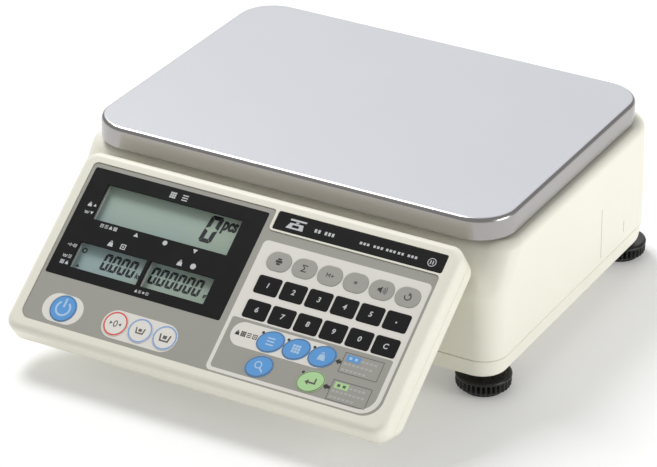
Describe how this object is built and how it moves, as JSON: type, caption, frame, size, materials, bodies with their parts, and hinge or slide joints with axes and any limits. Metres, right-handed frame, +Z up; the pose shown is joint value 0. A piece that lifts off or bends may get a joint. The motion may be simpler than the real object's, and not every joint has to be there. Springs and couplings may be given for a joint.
{
  "type": "counting scale",
  "caption": "Bench counting scale with a stainless pan, a plastic base on levelling feet, and a tilted console with displays and a keypad.",
  "frame": {"origin": "on the surface that the scale stands on, under the middle of its bounding box", "axes": "+Z up, -Y to the front, where the console is, and +X to the user's right"},
  "size_m": [0.315, 0.355, 0.121],
  "materials": {
    "stainless": "satin",
    "cream_plastic": "fine texture",
    "black_plastic": "moulded",
    "rubber": "matt",
    "aluminium": "cast and machined",
    "overlay_grey": "printed film",
    "window_black": "satin",
    "lcd_glass": "polarising film",
    "circuit_board": "solder mask",
    "battery_case": "moulded",
    "key_black": "printed",
    "key_grey": "printed",
    "key_blue": "printed",
    "key_green": "printed",
    "key_light": "printed",
    "level_glass": "clear vial"
  },
  "bodies": {
    "base": {"upper_case": "cream_plastic", "lower_case": "cream_plastic", "side_cover": "cream_plastic", "base_frame": "aluminium", "load_cell": "aluminium", "battery": "battery_case", "battery_cover": "cream_plastic", "main_board": "circuit_board", "dc_jack": "black_plastic", "spirit_level": "level_glass", "console_front_case": "cream_plastic", "console_rear_case": "cream_plastic", "keypad_overlay": "overlay_grey", "display_window": "window_black", "name_plate": "window_black", "count_lcd": "lcd_glass", "weight_lcd": "lcd_glass", "unit_weight_lcd": "lcd_glass", "display_board": "circuit_board"},
    "support": {"pan_support": "aluminium", "pan_cushion_front_left": "rubber", "pan_cushion_rear_left": "rubber", "pan_cushion_front_right": "rubber", "pan_cushion_rear_right": "rubber"},
    "pan": {"weighing_pan": "stainless"},
    "pad_front_left": {"foot_pad_front_left": "rubber"},
    "knob_front_left": {"foot_knob_front_left": "black_plastic"},
    "pad_rear_left": {"foot_pad_rear_left": "rubber"},
    "knob_rear_left": {"foot_knob_rear_left": "black_plastic"},
    "pad_front_right": {"foot_pad_front_right": "rubber"},
    "knob_front_right": {"foot_knob_front_right": "black_plastic"},
    "pad_rear_right": {"foot_pad_rear_right": "rubber"},
    "knob_rear_right": {"foot_knob_rear_right": "black_plastic"},
    "key_print": {"key_print": "key_grey"},
    "key_total": {"key_total": "key_grey"},
    "key_memory_plus": {"key_memory_plus": "key_grey"},
    "key_star": {"key_star": "key_grey"},
    "key_sound": {"key_sound": "key_grey"},
    "key_reset": {"key_reset": "key_grey"},
    "key_1": {"key_1": "key_black"},
    "key_2": {"key_2": "key_black"},
    "key_3": {"key_3": "key_black"},
    "key_4": {"key_4": "key_black"},
    "key_5": {"key_5": "key_black"},
    "key_point": {"key_point": "key_black"},
    "key_6": {"key_6": "key_black"},
    "key_7": {"key_7": "key_black"},
    "key_8": {"key_8": "key_black"},
    "key_9": {"key_9": "key_black"},
    "key_0": {"key_0": "key_black"},
    "key_clear": {"key_clear": "key_black"},
    "key_unit_input": {"key_unit_input": "key_blue"},
    "key_sample_input": {"key_sample_input": "key_blue"},
    "key_unit_weight": {"key_unit_weight": "key_blue"},
    "key_lookup": {"key_lookup": "key_blue"},
    "key_enter": {"key_enter": "key_green"},
    "key_power": {"key_power": "key_blue"},
    "key_zero": {"key_zero": "key_light"},
    "key_tare_set": {"key_tare_set": "key_light"},
    "key_tare": {"key_tare": "key_light"}
  },
  "joints": [
    {"name": "pan_lift", "type": "slide", "parent": "support", "child": "pan", "axis": [0, 0, 1], "range_m": [0, 0.06]},
    {"name": "support_deflection", "type": "slide", "parent": "base", "child": "support", "axis": [0, 0, 1], "range_m": [-0.0005, 0], "stiffness_N_per_m": 400000, "springref_m": 0.0001},
    {"name": "foot_front_left_turn", "type": "hinge", "parent": "pad_front_left", "child": "knob_front_left", "pos_m": [-0.1393, -0.0476, 0], "axis": [0, 0, 1], "range_deg": [-1440, 1440]},
    {"name": "foot_front_left_rise", "type": "slide", "parent": "base", "child": "pad_front_left", "axis": [0, 0, 1], "range_m": [-0.005, 0.005]},
    {"name": "foot_rear_left_turn", "type": "hinge", "parent": "pad_rear_left", "child": "knob_rear_left", "pos_m": [-0.1393, 0.1579, 0], "axis": [0, 0, 1], "range_deg": [-1440, 1440]},
    {"name": "foot_rear_left_rise", "type": "slide", "parent": "base", "child": "pad_rear_left", "axis": [0, 0, 1], "range_m": [-0.005, 0.005]},
    {"name": "foot_front_right_turn", "type": "hinge", "parent": "pad_front_right", "child": "knob_front_right", "pos_m": [0.1393, -0.0476, 0], "axis": [0, 0, 1], "range_deg": [-1440, 1440]},
    {"name": "foot_front_right_rise", "type": "slide", "parent": "base", "child": "pad_front_right", "axis": [0, 0, 1], "range_m": [-0.005, 0.005]},
    {"name": "foot_rear_right_turn", "type": "hinge", "parent": "pad_rear_right", "child": "knob_rear_right", "pos_m": [0.1393, 0.1579, 0], "axis": [0, 0, 1], "range_deg": [-1440, 1440]},
    {"name": "foot_rear_right_rise", "type": "slide", "parent": "base", "child": "pad_rear_right", "axis": [0, 0, 1], "range_m": [-0.005, 0.005]},
    {"name": "key_print_press", "type": "slide", "parent": "base", "child": "key_print", "axis": [0, 0.5941, -0.8044], "range_m": [0, 0.0005], "stiffness_N_per_m": 2500, "springref_m": -0.0002},
    {"name": "key_total_press", "type": "slide", "parent": "base", "child": "key_total", "axis": [0, 0.5941, -0.8044], "range_m": [0, 0.0005], "stiffness_N_per_m": 2500, "springref_m": -0.0002},
    {"name": "key_memory_plus_press", "type": "slide", "parent": "base", "child": "key_memory_plus", "axis": [0, 0.5941, -0.8044], "range_m": [0, 0.0005], "stiffness_N_per_m": 2500, "springref_m": -0.0002},
    {"name": "key_star_press", "type": "slide", "parent": "base", "child": "key_star", "axis": [0, 0.5941, -0.8044], "range_m": [0, 0.0005], "stiffness_N_per_m": 2500, "springref_m": -0.0002},
    {"name": "key_sound_press", "type": "slide", "parent": "base", "child": "key_sound", "axis": [0, 0.5941, -0.8044], "range_m": [0, 0.0005], "stiffness_N_per_m": 2500, "springref_m": -0.0002},
    {"name": "key_reset_press", "type": "slide", "parent": "base", "child": "key_reset", "axis": [0, 0.5941, -0.8044], "range_m": [0, 0.0005], "stiffness_N_per_m": 2500, "springref_m": -0.0002},
    {"name": "key_1_press", "type": "slide", "parent": "base", "child": "key_1", "axis": [0, 0.5941, -0.8044], "range_m": [0, 0.0005], "stiffness_N_per_m": 2500, "springref_m": -0.0002},
    {"name": "key_2_press", "type": "slide", "parent": "base", "child": "key_2", "axis": [0, 0.5941, -0.8044], "range_m": [0, 0.0005], "stiffness_N_per_m": 2500, "springref_m": -0.0002},
    {"name": "key_3_press", "type": "slide", "parent": "base", "child": "key_3", "axis": [0, 0.5941, -0.8044], "range_m": [0, 0.0005], "stiffness_N_per_m": 2500, "springref_m": -0.0002},
    {"name": "key_4_press", "type": "slide", "parent": "base", "child": "key_4", "axis": [0, 0.5941, -0.8044], "range_m": [0, 0.0005], "stiffness_N_per_m": 2500, "springref_m": -0.0002},
    {"name": "key_5_press", "type": "slide", "parent": "base", "child": "key_5", "axis": [0, 0.5941, -0.8044], "range_m": [0, 0.0005], "stiffness_N_per_m": 2500, "springref_m": -0.0002},
    {"name": "key_point_press", "type": "slide", "parent": "base", "child": "key_point", "axis": [0, 0.5941, -0.8044], "range_m": [0, 0.0005], "stiffness_N_per_m": 2500, "springref_m": -0.0002},
    {"name": "key_6_press", "type": "slide", "parent": "base", "child": "key_6", "axis": [0, 0.5941, -0.8044], "range_m": [0, 0.0005], "stiffness_N_per_m": 2500, "springref_m": -0.0002},
    {"name": "key_7_press", "type": "slide", "parent": "base", "child": "key_7", "axis": [0, 0.5941, -0.8044], "range_m": [0, 0.0005], "stiffness_N_per_m": 2500, "springref_m": -0.0002},
    {"name": "key_8_press", "type": "slide", "parent": "base", "child": "key_8", "axis": [0, 0.5941, -0.8044], "range_m": [0, 0.0005], "stiffness_N_per_m": 2500, "springref_m": -0.0002},
    {"name": "key_9_press", "type": "slide", "parent": "base", "child": "key_9", "axis": [0, 0.5941, -0.8044], "range_m": [0, 0.0005], "stiffness_N_per_m": 2500, "springref_m": -0.0002},
    {"name": "key_0_press", "type": "slide", "parent": "base", "child": "key_0", "axis": [0, 0.5941, -0.8044], "range_m": [0, 0.0005], "stiffness_N_per_m": 2500, "springref_m": -0.0002},
    {"name": "key_clear_press", "type": "slide", "parent": "base", "child": "key_clear", "axis": [0, 0.5941, -0.8044], "range_m": [0, 0.0005], "stiffness_N_per_m": 2500, "springref_m": -0.0002},
    {"name": "key_unit_input_press", "type": "slide", "parent": "base", "child": "key_unit_input", "axis": [0, 0.5941, -0.8044], "range_m": [0, 0.0005], "stiffness_N_per_m": 2500, "springref_m": -0.0002},
    {"name": "key_sample_input_press", "type": "slide", "parent": "base", "child": "key_sample_input", "axis": [0, 0.5941, -0.8044], "range_m": [0, 0.0005], "stiffness_N_per_m": 2500, "springref_m": -0.0002},
    {"name": "key_unit_weight_press", "type": "slide", "parent": "base", "child": "key_unit_weight", "axis": [0, 0.5941, -0.8044], "range_m": [0, 0.0005], "stiffness_N_per_m": 2500, "springref_m": -0.0002},
    {"name": "key_lookup_press", "type": "slide", "parent": "base", "child": "key_lookup", "axis": [0, 0.5941, -0.8044], "range_m": [0, 0.0005], "stiffness_N_per_m": 2500, "springref_m": -0.0002},
    {"name": "key_enter_press", "type": "slide", "parent": "base", "child": "key_enter", "axis": [0, 0.5941, -0.8044], "range_m": [0, 0.0005], "stiffness_N_per_m": 2500, "springref_m": -0.0002},
    {"name": "key_power_press", "type": "slide", "parent": "base", "child": "key_power", "axis": [0, 0.5941, -0.8044], "range_m": [0, 0.0005], "stiffness_N_per_m": 2500, "springref_m": -0.0002},
    {"name": "key_zero_press", "type": "slide", "parent": "base", "child": "key_zero", "axis": [0, 0.5941, -0.8044], "range_m": [0, 0.0005], "stiffness_N_per_m": 2500, "springref_m": -0.0002},
    {"name": "key_tare_set_press", "type": "slide", "parent": "base", "child": "key_tare_set", "axis": [0, 0.5941, -0.8044], "range_m": [0, 0.0005], "stiffness_N_per_m": 2500, "springref_m": -0.0002},
    {"name": "key_tare_press", "type": "slide", "parent": "base", "child": "key_tare", "axis": [0, 0.5941, -0.8044], "range_m": [0, 0.0005], "stiffness_N_per_m": 2500, "springref_m": -0.0002}
  ],
  "couplings": [
    {"joint": "foot_front_left_rise", "follows": "foot_front_left_turn", "m_per_rad": 0.00019894},
    {"joint": "foot_rear_left_rise", "follows": "foot_rear_left_turn", "m_per_rad": 0.00019894},
    {"joint": "foot_front_right_rise", "follows": "foot_front_right_turn", "m_per_rad": 0.00019894},
    {"joint": "foot_rear_right_rise", "follows": "foot_rear_right_turn", "m_per_rad": 0.00019894}
  ]
}
